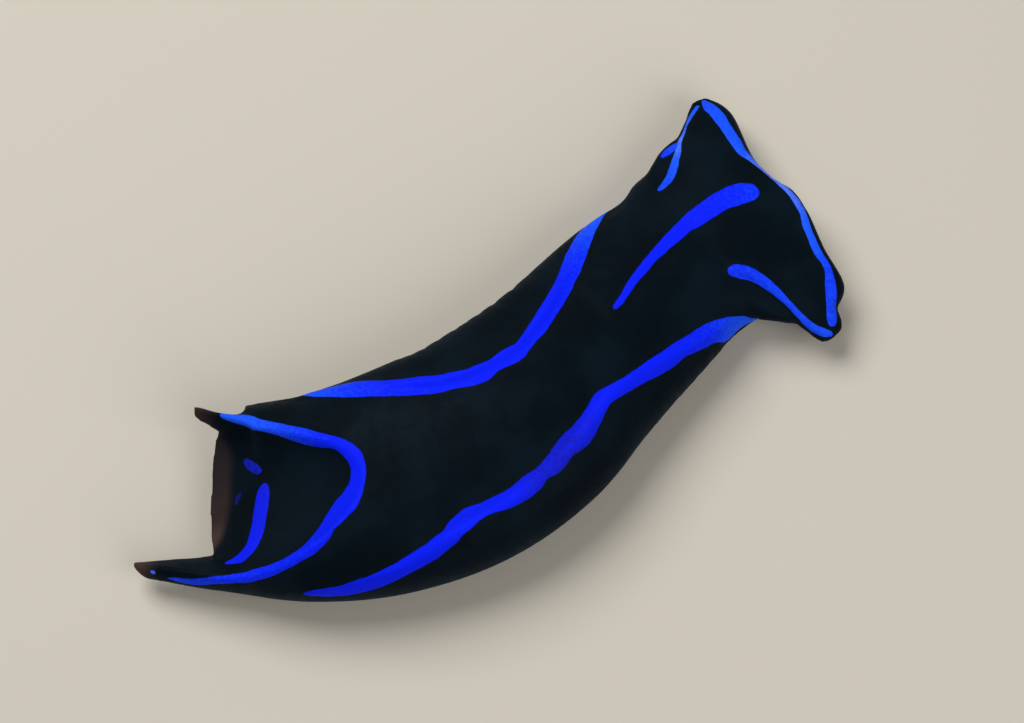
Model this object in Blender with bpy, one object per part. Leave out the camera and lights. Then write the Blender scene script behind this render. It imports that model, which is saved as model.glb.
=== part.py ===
"""A blue velvet headshield slug, life size, crawling over a flat floor.

Every piece is drawn in millimetres in the animal's own frame: a distance back from the front
of the head along the midline, a distance to its left, and a height above the floor. The
midline bends, so the same frame carries the pose.
"""

import bisect
import math

import bmesh
import bpy

MM = 0.001
GAP = 0.3

# The midline on the floor, from the front of the head to the tail, as x and y.
MIDLINE = [
    (19.7, 9.8),
    (15.6, 8.0),
    (12.2, 5.5),
    (8.8, 2.5),
    (5.4, -0.9),
    (2.0, -4.2),
    (-2.1, -7.1),
    (-6.6, -8.9),
    (-11.0, -9.8),
    (-15.0, -9.9),
    (-17.7, -9.7),
]

# The middle of the box round the animal, which becomes the origin.
MIDDLE_X = 0.28
MIDDLE_Y = 0.56

# Where the lengths of the body meet, as distances from the front of the head.
NECK_START = 6.5
SHIELD_END = 15.2
WAIST = 23.0
FOOT_JOINT = 29.0
TAIL_START = 34.6
LOBE_START = 41.2
FLAP_END = 41.0

# The head shield's free rear edge is rounded: it lies further forward at the sides.
SHIELD_BOW = 1.3
BOW_HALF_WIDTH = 5.0
BOW_FADE = 6.0

# Sections of the body at distances from the front of the head.
HALF_WIDTH = [
    (6, 6.05),
    (8, 5.75),
    (10.5, 6.05),
    (16, 6.4),
    (19.5, 6.65),
    (23, 7.35),
    (27, 7.55),
    (33, 7.35),
    (38, 6.75),
    (42, 6.15),
]
HEIGHT = [
    (6, 5.0),
    (10, 5.6),
    (15, 6.3),
    (20, 7.1),
    (25, 7.6),
    (29, 7.5),
    (35, 7.1),
    (39, 6.6),
    (42, 5.8),
]
WIDEST_AT = 0.42
NECK_SHOULDER = 0.12
FLANK_POINTS = 7
SQUARENESS = 2.3
TUCK = 0.12

# How far round each flank the side flaps climb, in degrees above the widest line.
LEFT_MARGIN = [
    (6.5, 5),
    (8, 14),
    (10.5, 25),
    (13, 48),
    (16.5, 64),
    (20.5, 72),
    (25, 68),
    (30, 53),
    (34, 38),
    (38, 25),
    (41, 5),
]
RIGHT_MARGIN = [
    (6.5, 6),
    (7.5, 22),
    (9, 31),
    (13, 45),
    (18, 60),
    (23, 54),
    (30, 46),
    (33, 36),
    (37, 24),
    (41, 4),
]
FLAP = 1.0
LIP = 0.35
LIP_SPREAD = 14.0
LIP_ROUND = 0.15

# The sole and what lies on it.
FOOT = 1.0
DECK = FOOT + GAP
SOLE_WIDTH = 0.88
SOLE_FLARE = 0.06
TOE = 0.6
FOOT_FRONT_WIDTH = [(1.0, 2.4), (1.2, 3.4), (1.8, 4.2), (3.0, 4.7), (6.0, 5.0), (9.0, 5.2)]
FOOT_REAR_WIDTH = [(36.0, 6.1), (40.0, 5.2), (42.0, 3.8), (42.8, 2.6), (43.3, 1.2)]

# The broad head shield, by distance to the left of the midline.
LEFT_REACH = 9.4
RIGHT_REACH = 9.0
HEAD_FRONT = [
    (-9.0, 1.0),
    (-8.6, 0.3),
    (-7.6, 0.0),
    (-6.6, -0.7),
    (-5.2, -1.0),
    (-3.6, -0.65),
    (-0.8, -0.7),
    (0.8, -0.4),
    (2.2, 0.55),
    (4.0, 1.1),
    (7.4, 1.0),
    (8.5, 1.35),
    (9.4, 2.1),
]
RIGHT_LOBE_REAR = [
    (-9.0, 1.6),
    (-8.6, 2.0),
    (-7.8, 2.55),
    (-7.3, 3.0),
    (-6.9, 4.4),
    (-6.4, 5.6),
    (-4.7, 6.15),
]
LEFT_LOBE_REAR = [
    (4.7, 6.15),
    (6.2, 6.1),
    (6.9, 5.3),
    (7.2, 4.5),
    (7.7, 3.9),
    (8.4, 3.4),
    (9.4, 2.7),
]
HEAD_TOP = [(0, 4.3), (3, 4.75), (6.5, 5.1)]
HEAD_DROOP = 2.1
HEAD_THICK = [(0, 1.5), (5, 1.6), (8, 1.3), (9.4, 0.6)]
HEAD_NOSE = 0.7
NOSE_ANGLES = (15, 45, 70, 90)
LOBE_ROOT = 4.7

# The snout under the shield, by distance from its middle: a notch is the mouth, a lip on each side.
SNOUT_FRONT = [(0.0, 1.7), (0.25, 0.95), (0.8, 0.6), (1.7, 0.7), (2.7, 1.2), (3.5, 2.3)]
SNOUT_ROUND = 0.45
SNOUT_FLARE = 1.15

# The scoop between the rims of the tail shield, and the lobes behind it.
LEFT_RIM = [
    (34.2, 0.6),
    (35.2, 1.9),
    (38, 3.1),
    (41, 3.9),
    (43.2, 4.4),
    (45.5, 4.6),
]
RIGHT_RIM = [
    (34.2, -0.9),
    (34.9, -1.9),
    (36.6, -3.5),
    (38.3, -4.6),
    (40, -5.4),
    (42.7, -6.0),
    (45.2, -6.1),
    (48.2, -5.4),
]
SCOOP_FLOOR = [(34.6, 7.05), (37.0, 5.4), (41.2, 3.3)]
RIM_RAISE = 0.2
RIM_RUN = 2.5

# Slices of each tail lobe: how far along it, the left of its inner foot, its rim and its outer
# side, and the heights of its underside and its rim.
LEFT_LOBE_END = 45.6
LEFT_LOBE = [
    (0.0, 2.9, 3.9, 6.1, 1.3, 5.5),
    (0.25, 3.3, 4.2, 5.6, 1.6, 5.4),
    (0.5, 3.7, 4.3, 5.0, 2.8, 5.4),
    (0.75, 4.1, 4.45, 4.8, 4.2, 5.7),
    (1.0, 4.4, 4.6, 4.8, 5.6, 6.2),
]
RIGHT_LOBE_END = 48.2
RIGHT_LOBE = [
    (0.0, -3.6, -5.6, -6.15, 1.3, 4.4),
    (0.25, -3.8, -5.6, -6.0, 1.3, 3.9),
    (0.5, -4.0, -5.5, -5.9, 1.3, 3.4),
    (0.75, -4.3, -5.2, -5.7, 1.3, 3.0),
    (1.0, -4.6, -4.8, -5.0, 1.5, 2.3),
]

# The thin web between the lobes, at its root and at its free rear edge.
WEB_END = 44.1
WEB_EDGE_CURVE = 0.025
WEB_EDGE_MIDDLE = 1.5
WEB_LEFT = (2.5, 3.9)
WEB_RIGHT = (-3.2, -3.7)
WEB_TOP = (2.4, 2.05)
WEB_THICK = (0.8, 0.55)
WEB_CURL_LEFT = 0.075
WEB_CURL_RIGHT = 0.03


def along(table, distance):
    """The value of a table at a distance, on a smooth curve through its rows."""
    keys = [row[0] for row in table]
    if distance <= keys[0]:
        return table[0][1]
    if distance >= keys[-1]:
        return table[-1][1]
    k = bisect.bisect_right(keys, distance) - 1

    def slope(i):
        before, after = max(i - 1, 0), min(i + 1, len(table) - 1)
        return (table[after][1] - table[before][1]) / (keys[after] - keys[before])

    width = keys[k + 1] - keys[k]
    t = (distance - keys[k]) / width
    return (
        (2 * t**3 - 3 * t**2 + 1) * table[k][1]
        + (t**3 - 2 * t**2 + t) * width * slope(k)
        + (3 * t**2 - 2 * t**3) * table[k + 1][1]
        + (t**3 - t**2) * width * slope(k + 1)
    )


def midline_rows():
    """The midline as two tables, x and y, by distance from the front of the head."""
    reach = [0.0]
    for before, after in zip(MIDLINE, MIDLINE[1:]):
        reach.append(reach[-1] + math.dist(before, after))
    return [(d, p[0]) for d, p in zip(reach, MIDLINE)], [(d, p[1]) for d, p in zip(reach, MIDLINE)]


MIDLINE_X, MIDLINE_Y = midline_rows()
MIDLINE_LENGTH = MIDLINE_X[-1][0]
STEP = 0.05


def place(distance, left, height):
    """A point of the animal's own frame, in metres."""
    inside = min(max(distance, STEP), MIDLINE_LENGTH - STEP)
    run_x = along(MIDLINE_X, inside + STEP) - along(MIDLINE_X, inside - STEP)
    run_y = along(MIDLINE_Y, inside + STEP) - along(MIDLINE_Y, inside - STEP)
    run = math.hypot(run_x, run_y)
    back_x, back_y = run_x / run, run_y / run
    beyond = distance - inside
    x = along(MIDLINE_X, inside) + back_x * beyond + back_y * left
    y = along(MIDLINE_Y, inside) + back_y * beyond - back_x * left
    return (x - MIDDLE_X) * MM, (y - MIDDLE_Y) * MM, height * MM


def section(distance, side, rise):
    """The outer surface of a section: rise runs from -90 at the floor over 0 to 90 at the crest."""
    half_width = along(HALF_WIDTH, distance)
    height = along(HEIGHT, distance)
    widest = WIDEST_AT * height
    if rise < 0:
        down = -rise / 90
        return side * half_width * (1 - TUCK * down**2), widest * (1 - down)
    power = 2 / SQUARENESS
    out = max(math.cos(math.radians(rise)), 0.0) ** power
    up = math.sin(math.radians(rise)) ** power
    return side * half_width * out, widest + (height - widest) * up


def skin(distance, side, rise, out=0.0):
    """A point of the section moved outwards, square to the surface, as left and height."""
    left, height = section(distance, side, rise)
    low = section(distance, side, max(rise - 2, -90))
    high = section(distance, side, min(rise + 2, 90))
    run_left, run_up = high[0] - low[0], high[1] - low[1]
    run = math.hypot(run_left, run_up)
    return left + side * out * run_up / run, height - side * out * run_left / run


def shifted(distance, side, rise, by):
    """The rise reached by moving a few tenths of a millimetre up the surface."""
    here, there = skin(distance, side, rise), skin(distance, side, rise + 1)
    return rise + by / math.dist(here, there)


def deck_rise(distance):
    """The rise at which the flank meets the top of the foot."""
    return -90 * (1 - DECK / (WIDEST_AT * along(HEIGHT, distance)))


def margin(distance, side):
    return along(LEFT_MARGIN if side > 0 else RIGHT_MARGIN, distance)


def back_height(distance, left):
    """The height of the back over a point of the floor."""
    half_width = along(HALF_WIDTH, distance)
    height = along(HEIGHT, distance)
    widest = WIDEST_AT * height
    share = min(abs(left) / half_width, 1.0) ** SQUARENESS
    return widest + (height - widest) * (1 - share) ** (1 / SQUARENESS)


def spread(start, end, count):
    return [start + (end - start) * k / (count - 1) for k in range(count)]


def give_material(obj, colour, roughness):
    material = bpy.data.materials.new(obj.name)
    material.use_nodes = True
    shader = material.node_tree.nodes["Principled BSDF"]
    shader.inputs["Base Color"].default_value = (*colour, 1)
    shader.inputs["Roughness"].default_value = roughness
    shader.inputs["Metallic"].default_value = 0
    obj.data.materials.append(material)


BLACK = (0.004, 0.007, 0.01)
BROWN = (0.022, 0.012, 0.01)


def loft(name, uppers, lowers, colour=BLACK, roughness=0.55):
    """A closed body between two chains of points at each station.

    Both chains of a station have as many points, and each point of the upper chain
    stands over its fellow in the lower one, so the ends close as ladders.
    """
    mesh = bmesh.new()
    tops = [[mesh.verts.new(place(*p)) for p in chain] for chain in uppers]
    bottoms = [[mesh.verts.new(place(*p)) for p in chain] for chain in lowers]
    for grid in (tops, bottoms):
        for near, far in zip(grid, grid[1:]):
            for k in range(len(near) - 1):
                mesh.faces.new((near[k], near[k + 1], far[k + 1], far[k]))
    for top, bottom in ((tops[0], bottoms[0]), (tops[-1], bottoms[-1])):
        for k in range(len(top) - 1):
            mesh.faces.new((top[k], top[k + 1], bottom[k + 1], bottom[k]))
    for end in (0, -1):
        for k in range(len(tops) - 1):
            mesh.faces.new((tops[k][end], tops[k + 1][end], bottoms[k + 1][end], bottoms[k][end]))
    bmesh.ops.recalc_face_normals(mesh, faces=mesh.faces)
    data = bpy.data.meshes.new(name)
    mesh.to_mesh(data)
    mesh.free()
    data.shade_smooth()
    data.set_sharp_from_angle(angle=math.radians(42))
    obj = bpy.data.objects.new(name, data)
    bpy.context.scene.collection.objects.link(obj)
    give_material(obj, colour, roughness)
    return obj


def bowed(distance, left, bow):
    """Points away from the midline lie further forward where a cross line is rounded."""
    return distance - bow * (left / BOW_HALF_WIDTH) ** 2


def shield_bow(distance):
    """The rounding of a cross line fades away ahead of and behind the shield's rear edge."""
    return SHIELD_BOW * max(0.0, 1 - abs(distance - SHIELD_END) / BOW_FADE)


def flank(distance, side, out, first=0.0):
    """Points down one flank, from the margin of the flap to the top of the foot."""
    upper = margin(distance, side)
    lower = deck_rise(distance)
    points = []
    for share in spread(first, 1, FLANK_POINTS):
        left, height = skin(distance, side, upper + (lower - upper) * share, out)
        points.append((left, max(height, DECK)))
    points[-1] = (points[-1][0], DECK)
    return points


def under_chain(distance, bow=0.0, first=0.0):
    """From the left margin down the inset flank, across the deck and up to the right margin."""
    inset = -FLAP - GAP
    left_side = flank(distance, 1, inset, first)
    right_side = flank(distance, -1, inset, first)
    chain = left_side + [(0.0, DECK)] + right_side[::-1]
    return [(bowed(distance, left, bow), left, height) for left, height in chain]


def back_chain(distance, out, bow=0.0, clear=GAP):
    """Across the back, from just inside the left margin to just inside the right one."""
    start = shifted(distance, 1, margin(distance, 1), clear)
    end = shifted(distance, -1, margin(distance, -1), clear)
    points = [skin(distance, 1, rise, out) for rise in spread(start, 90, FLANK_POINTS + 1)]
    points += [skin(distance, -1, rise, out) for rise in spread(90, end, FLANK_POINTS + 1)[1:]]
    return [(bowed(distance, left, bow), left, height) for left, height in points]


def build_neck():
    """The rear of the head shield, and the neck inside it and between the flaps."""
    places = spread(NECK_START, SHIELD_END - GAP / 2, 7)
    loft(
        "head_shield_rear",
        [back_chain(d, 0.0, shield_bow(d)) for d in places],
        [back_chain(d, -FLAP, shield_bow(d)) for d in places],
    )
    loft(
        "neck",
        [back_chain(d, -FLAP - GAP, shield_bow(d), 0.0) for d in places],
        [under_chain(d, shield_bow(d), NECK_SHOULDER) for d in places],
    )


def build_torso():
    for name, start, end in (
        ("torso_front", SHIELD_END + GAP / 2, WAIST - GAP / 2),
        ("torso_rear", WAIST + GAP / 2, TAIL_START - GAP / 2),
    ):
        places = spread(start, end, 8)
        loft(
            name,
            [back_chain(d, 0.0, shield_bow(d)) for d in places],
            [under_chain(d, shield_bow(d)) for d in places],
        )


def flap_chains(distance, side):
    """The outer and inner faces of a side flap, whose margin is a raised, rounded lip."""
    top = margin(distance, side)
    low = deck_rise(distance)
    outer, inner = [], []
    for share in spread(0, 1, FLANK_POINTS + 2):
        rise = low + (top - low) * share
        lift = LIP * math.sin(math.radians(top)) * max(0.0, 1 - (top - rise) / LIP_SPREAD)
        if share == 1:
            lift -= LIP_ROUND
        left, height = skin(distance, side, rise, lift)
        outer.append((distance, left, max(height, DECK)))
        left, height = skin(distance, side, rise, -FLAP)
        inner.append((distance, left, max(height, DECK)))
    outer[0] = (distance, outer[0][1], DECK)
    inner[0] = (distance, inner[0][1], DECK)
    return outer, inner


def build_flaps():
    for side, word in ((1, "left"), (-1, "right")):
        for length, start, end in (
            ("front", NECK_START, WAIST - GAP / 2),
            ("rear", WAIST + GAP / 2, FLAP_END),
        ):
            chains = [flap_chains(d, side) for d in spread(start, end, 13)]
            loft(f"parapodium_{word}_{length}", [c[0] for c in chains], [c[1] for c in chains])


def foot_half_width(distance):
    if distance < FOOT_FRONT_WIDTH[-1][0]:
        return along(FOOT_FRONT_WIDTH, distance)
    if distance > FOOT_REAR_WIDTH[0][0]:
        return along(FOOT_REAR_WIDTH, distance)
    return SOLE_WIDTH * along(HALF_WIDTH, distance)


def foot_chains(distance, thickness):
    half_width = foot_half_width(distance)
    flare = 1 + SOLE_FLARE * thickness
    shares = spread(1, -1, 7)
    upper = [(distance, share * half_width * flare, thickness) for share in shares]
    lower = [(distance, share * half_width, 0.0) for share in shares]
    return upper, lower


def build_foot():
    front, rear = FOOT_FRONT_WIDTH[0][0], FOOT_REAR_WIDTH[-1][0]
    lengths = (
        ("foot_front", front, SHIELD_END - GAP / 2),
        ("foot_middle", SHIELD_END + GAP / 2, FOOT_JOINT - GAP / 2),
        ("foot_rear", FOOT_JOINT + GAP / 2, rear),
    )
    for name, start, end in lengths:
        places = spread(start, end, 10)
        if start == front:
            places[1:1] = [row[0] for row in FOOT_FRONT_WIDTH[1:3]]
        if end == rear:
            places[-1:-1] = [row[0] for row in FOOT_REAR_WIDTH[2:4]]
        places.sort()
        chains = [foot_chains(d, TOE if d in (front, rear) else FOOT) for d in places]
        loft(name, [c[0] for c in chains], [c[1] for c in chains])


def head_top(distance, left):
    return along(HEAD_TOP, distance) - HEAD_DROOP * (left / LEFT_REACH) ** 2


def head_rear(left):
    if left < -LOBE_ROOT:
        return along(RIGHT_LOBE_REAR, left)
    if left > LOBE_ROOT:
        return along(LEFT_LOBE_REAR, left)
    return NECK_START - GAP


def head_chains(left):
    """A slice of the head shield from front to rear, with a rounded rim at each free end."""
    front, rear = along(HEAD_FRONT, left), head_rear(left)
    thick = along(HEAD_THICK, abs(left))
    nose = min(HEAD_NOSE, (rear - front) / 3)
    free = abs(left) > LOBE_ROOT
    rounding = []
    for angle in NOSE_ANGLES:
        turn = math.radians(angle)
        rounding.append((nose * (1 - math.cos(turn)), thick / 2 * (1 - math.sin(turn))))
    flat_start, flat_end = front + nose, rear - (nose if free else 0.0)
    edge = [(front + run, drop) for run, drop in rounding]
    edge += [(d, 0.0) for d in spread(flat_start, flat_end, 5)[1:-1]]
    edge += [(rear - run, drop) for run, drop in rounding[::-1]] if free else [(rear, 0.0)]
    upper = [(d, left, head_top(d, left) - drop) for d, drop in edge]
    lower = [(d, left, head_top(d, left) - thick + drop) for d, drop in edge]
    return upper, lower


def build_head():
    root = LOBE_ROOT - GAP / 2
    for name, start, end, count in (
        ("head_shield", root, -root, 12),
        ("head_lobe_left", LEFT_REACH, LOBE_ROOT + GAP / 2, 10),
        ("head_lobe_right", -LOBE_ROOT - GAP / 2, -RIGHT_REACH, 10),
    ):
        chains = [head_chains(left) for left in spread(start, end, count)]
        loft(name, [c[0] for c in chains], [c[1] for c in chains])


def head_ceiling(distance, left):
    """The height just under the head shield."""
    return head_top(distance, left) - along(HEAD_THICK, abs(left)) - GAP


def build_snout():
    """The snout, in level slices whose front and rear outlines pair up."""
    lefts = [-row[0] for row in SNOUT_FRONT[:0:-1]] + [row[0] for row in SNOUT_FRONT]
    fronts, rears = [], []
    for share in spread(0, 1, 6):
        recess = SNOUT_ROUND * (2 * share - 1) ** 2
        front = [(along(SNOUT_FRONT, abs(left)) + recess, left) for left in lefts]
        rear = [(NECK_START - GAP, left * SNOUT_FLARE) for left in lefts]
        fronts.append([(d, left, DECK + (head_ceiling(d, left) - DECK) * share) for d, left in front])
        rears.append([(d, left, DECK + (head_ceiling(d, left) - DECK) * share) for d, left in rear])
    loft("snout", fronts, rears)


def tail_floor(distance, left):
    """The scoop between the rims: a hollow that deepens towards the tail."""
    left_rim, right_rim = along(LEFT_RIM, distance), along(RIGHT_RIM, distance)
    across = (left - right_rim) / (left_rim - right_rim)
    bank = (2 * abs(across - 0.5)) ** 4
    floor = along(SCOOP_FLOOR, distance)
    return floor + (back_height(distance, left) - floor) * bank


def tail_back_chain(distance):
    left_rim, right_rim = along(LEFT_RIM, distance), along(RIGHT_RIM, distance)
    start = skin(distance, 1, shifted(distance, 1, margin(distance, 1), GAP))[0]
    end = skin(distance, -1, shifted(distance, -1, margin(distance, -1), GAP))[0]
    raised = RIM_RAISE * min(1.0, (distance - TAIL_START) / RIM_RUN)
    points = []
    for left in spread(start, left_rim, 4)[:3]:
        points.append((distance, left, back_height(distance, left)))
    for share in (0, 0.07, 0.2, 0.35, 0.5, 0.65, 0.8, 0.93, 1):
        left = left_rim + (right_rim - left_rim) * share
        if share in (0, 1):
            points.append((distance, left, back_height(distance, left) + raised))
        else:
            points.append((distance, left, tail_floor(distance, left)))
    for left in spread(right_rim, end, 4)[1:]:
        points.append((distance, left, back_height(distance, left)))
    return points


def build_tail():
    places = spread(TAIL_START + GAP / 2, LOBE_START - GAP / 2, 15)
    loft("tail_shield", [tail_back_chain(d) for d in places], [under_chain(d) for d in places])


def lobe_chains(distance, inner, rim, outer, low, high):
    """A slice of a tail lobe: up its outer side to the rim, and across its underside and up inside."""
    tall = high - low
    outside = [
        (distance, (outer + rim) / 2, low),
        (distance, outer, low + 0.4 * tall),
        (distance, (outer + rim) / 2, low + 0.85 * tall),
        (distance, rim, high),
    ]
    inside = [
        (distance, (inner + outer) / 2, low),
        (distance, inner, low),
        (distance, inner + 0.3 * (rim - inner), low + 0.45 * tall),
        (distance, rim + 0.25 * (inner - rim), high - 0.15 * tall),
    ]
    return outside, inside


def build_lobes():
    start = LOBE_START + GAP / 2
    for name, end, slices in (
        ("caudal_lobe_left", LEFT_LOBE_END, LEFT_LOBE),
        ("caudal_lobe_right", RIGHT_LOBE_END, RIGHT_LOBE),
    ):
        chains = [lobe_chains(start + (end - start) * share, *sizes) for share, *sizes in slices]
        loft(name, [c[0] for c in chains], [c[1] for c in chains])


def between(pair, share):
    return pair[0] + (pair[1] - pair[0]) * share


def web_chains(share):
    """A line across the web, from its root against the tail shield to its free edge."""
    start = LOBE_START + GAP / 2
    upper, lower = [], []
    for left in spread(between(WEB_LEFT, share), between(WEB_RIGHT, share), 9):
        edge = WEB_END - WEB_EDGE_CURVE * (left - WEB_EDGE_MIDDLE) ** 2
        curl = (WEB_CURL_LEFT if left > 0 else WEB_CURL_RIGHT) * left**2
        distance = between((start, edge), share)
        top = between(WEB_TOP, share) + curl
        upper.append((distance, left, top))
        lower.append((distance, left, top - between(WEB_THICK, share)))
    return upper, lower


def build_web():
    chains = [web_chains(share) for share in spread(0, 1, 6)]
    loft("tail_web", [c[0] for c in chains], [c[1] for c in chains], BROWN, 0.4)


def main():
    for obj in list(bpy.data.objects):
        bpy.data.objects.remove(obj)
    build_head()
    build_snout()
    build_neck()
    build_torso()
    build_flaps()
    build_foot()
    build_tail()
    build_lobes()
    build_web()


main()
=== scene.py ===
import math

import bmesh
import bpy
import numpy as np
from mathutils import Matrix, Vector
from mathutils.bvhtree import BVHTree


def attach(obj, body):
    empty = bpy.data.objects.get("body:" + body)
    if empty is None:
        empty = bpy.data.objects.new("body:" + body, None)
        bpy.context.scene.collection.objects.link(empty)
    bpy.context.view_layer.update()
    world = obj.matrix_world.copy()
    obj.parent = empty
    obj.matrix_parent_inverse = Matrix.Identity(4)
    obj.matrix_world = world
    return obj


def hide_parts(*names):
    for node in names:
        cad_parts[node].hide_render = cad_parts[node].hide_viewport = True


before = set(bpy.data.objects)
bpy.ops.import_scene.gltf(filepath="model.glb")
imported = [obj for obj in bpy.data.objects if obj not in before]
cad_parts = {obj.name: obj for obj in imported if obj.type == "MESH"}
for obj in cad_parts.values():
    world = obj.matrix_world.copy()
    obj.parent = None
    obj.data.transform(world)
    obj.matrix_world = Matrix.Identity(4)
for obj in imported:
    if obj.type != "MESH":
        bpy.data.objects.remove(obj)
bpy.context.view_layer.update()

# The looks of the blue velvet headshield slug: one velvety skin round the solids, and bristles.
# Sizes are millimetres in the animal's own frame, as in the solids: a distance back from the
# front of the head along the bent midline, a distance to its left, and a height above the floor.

MM = 0.001

# The midline on the floor, as in the solids, and the middle of the box round the animal.
MIDLINE = [
    (19.7, 9.8),
    (15.6, 8.0),
    (12.2, 5.5),
    (8.8, 2.5),
    (5.4, -0.9),
    (2.0, -4.2),
    (-2.1, -7.1),
    (-6.6, -8.9),
    (-11.0, -9.8),
    (-15.0, -9.9),
    (-17.7, -9.7),
]
MIDDLE = (0.28, 0.56)

# Sections of the body at distances from the front of the head.
LEFT_WIDTH = [
    (6, 6.6),
    (7.3, 6.42),
    (8.1, 6.06),
    (8.9, 5.93),
    (10.5, 6.11),
    (11.7, 6.24),
    (13, 6.27),
    (16, 6.3),
    (18.5, 6.4),
    (21, 6.72),
    (24, 6.95),
    (26.5, 7.08),
    (29, 7.28),
    (32, 7.18),
    (36, 6.83),
    (39, 6.42),
    (42, 5.9),
]
RIGHT_WIDTH = [
    (6, 5.65),
    (7.2, 5.34),
    (8.0, 5.3),
    (9.4, 5.65),
    (11, 5.9),
    (13, 6.15),
    (16, 6.4),
    (19, 6.75),
    (21, 7.1),
    (23, 7.38),
    (27, 7.53),
    (33, 7.3),
    (38, 6.75),
    (42, 6.2),
]
HEIGHT = [
    (3.5, 3.7),
    (5, 4.4),
    (6, 4.85),
    (10, 5.6),
    (15, 6.3),
    (20, 7.1),
    (25, 7.6),
    (29, 7.5),
    (35, 7.1),
    (39, 6.6),
    (42, 5.8),
]
WIDEST_AT = 0.42
SQUARENESS = 2.3
TUCK = 0.12
BODY_START = 4.0
SHOULDER = 6.5
SHOULDER_RUN = 2.75
BODY_END = 41.2

# The left flank runs on past the end of the body, by this much at its outer side.
LEFT_FLANK_LONGER = 1.15
LONGER_RUN = 3.0
LONGER_LEFT = (3.5, 4.8)

# The free rear edge of the head shield on the back, between the flaps.
SHIELD_END = 15.2
SHIELD_END_BOW = 0.045
SHIELD_LIFT = 0.09
SHIELD_LIFT_RUN = 7.0
SHIELD_EDGE = (-0.5, 0.4)

# Folds of the skin across the flanks, on the inside of each bend, and the groove above the sole.
LEFT_FOLDS = (14.0, 31.0)
RIGHT_FOLDS = (7.5, 17.0)
FOLD_SPACING = 1.35
FOLD_DEPTH = 0.14
FOLD_SHARPNESS = 4
FOLD_FADE = 4.0
FOLD_RISE = (-2.0, 32.0)
FOLD_LEAN = 0.8
FOLD_LEAN_RATE = 2.2
FOLD_DRIFT = 0.7
FOLD_DRIFT_RATE = 0.9
FOLD_UNEVEN = 0.4
FOLD_UNEVEN_RATE = 2.3
FOLD_UNEVEN_RISE = 30.0
SOLE_GROOVE = 0.16
SOLE_GROOVE_SPREAD = 7.0

# The side flaps: how far round each flank they climb, in degrees above the widest line.
LEFT_MARGIN = [
    (6.5, 5),
    (8, 14),
    (10.5, 25),
    (13, 48),
    (16.5, 64),
    (20.5, 72),
    (25, 68),
    (30, 53),
    (34, 38),
    (38, 25),
    (41, 5),
]
RIGHT_MARGIN = [
    (6.5, 6),
    (7.5, 22),
    (9, 31),
    (13, 45),
    (18, 60),
    (23, 54),
    (30, 46),
    (33, 36),
    (37, 24),
    (41, 4),
]

# The lip that a flap's margin stands up in, and the groove inside it. Their runs are in degrees.
LIP = 0.36
LIP_RUN = 15.0
LIP_SLOPE = 1.5
LIP_ROUND = 1.6
LIP_WAVE = 0.3
LIP_WAVE_RATES = (1.15, 0.47)
LIP_FADE = (-1.0, 2.0)
GROOVE = 0.13
GROOVE_START = -0.5
GROOVE_RUN = 7.0

# The broad head shield, by distance to the left of the midline.
LEFT_REACH = 9.4
RIGHT_REACH = 9.0
HEAD_FRONT = [
    (-9.0, 1.0),
    (-8.7, 0.4),
    (-8.2, 0.15),
    (-7.7, 0.12),
    (-7.25, 0.06),
    (-6.85, -0.42),
    (-6.4, -0.82),
    (-5.6, -0.92),
    (-3.6, -0.65),
    (-0.8, -0.65),
    (0.8, -0.4),
    (2.2, 0.55),
    (4.0, 1.1),
    (7.4, 1.0),
    (8.5, 1.35),
    (9.4, 2.1),
]
HEAD_TOP = [(0, 4.3), (3, 4.75), (6.5, 5.1)]
HEAD_DROOP = 2.1
HEAD_THICK = [(0, 1.5), (5, 1.6), (8, 1.3), (9.4, 0.6)]
HEAD_NOSE = 0.75
HEAD_NOSE_SHARE = 2.2

# The free rear edge of the shield, and the front ends of the flaps that show behind it.
SHIELD_REAR = [
    (-9.0, 1.5),
    (-8.6, 1.9),
    (-8.0, 2.5),
    (-7.2, 3.2),
    (-6.4, 3.75),
    (-5.6, 4.4),
    (-4.6, 5.15),
    (-3.6, 5.8),
    (-2.9, 6.6),
    (-2.5, 7.8),
    (-2.2, 10.0),
    (4.3, 10.0),
    (4.6, 7.7),
    (4.95, 6.55),
    (5.7, 5.5),
    (6.45, 4.96),
    (7.1, 4.49),
    (7.8, 3.96),
    (8.4, 3.53),
    (9.0, 3.18),
    (9.4, 2.86),
]
FLAP_FRONT_REAR = [
    (-9.0, 1.6),
    (-8.6, 2.0),
    (-7.8, 2.55),
    (-7.3, 3.0),
    (-6.95, 4.5),
    (-6.5, 5.75),
    (-5.85, 6.7),
    (-4.7, 7.2),
    (4.7, 7.2),
    (6.0, 6.8),
    (6.5, 6.2),
    (6.9, 5.6),
    (7.2, 5.1),
    (7.35, 4.7),
    (7.5, 4.1),
    (8.0, 3.5),
    (8.6, 3.1),
    (9.4, 2.6),
]
SHIELD_STEP = 0.42
SHIELD_SINK = (5.5, 9.0)
SHIELD_UNDER_BACK = 0.2

# The snout under the shield, by distance from its middle: a notch is the mouth, a lip on each side.
SNOUT_FRONT = [(0.0, 1.75), (0.22, 0.98), (0.8, 0.6), (1.7, 0.7), (2.7, 1.2), (3.5, 2.3)]
SNOUT_HALF_WIDTH = 3.5
SNOUT_ROUND = 0.45
SNOUT_REAR = 7.0
SNOUT_REAR_TOP = 4.0
SNOUT_FLARE = 1.15
SNOUT_INTO_SHIELD = 0.3
SNOUT_INTO_FOOT = 0.2

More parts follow.
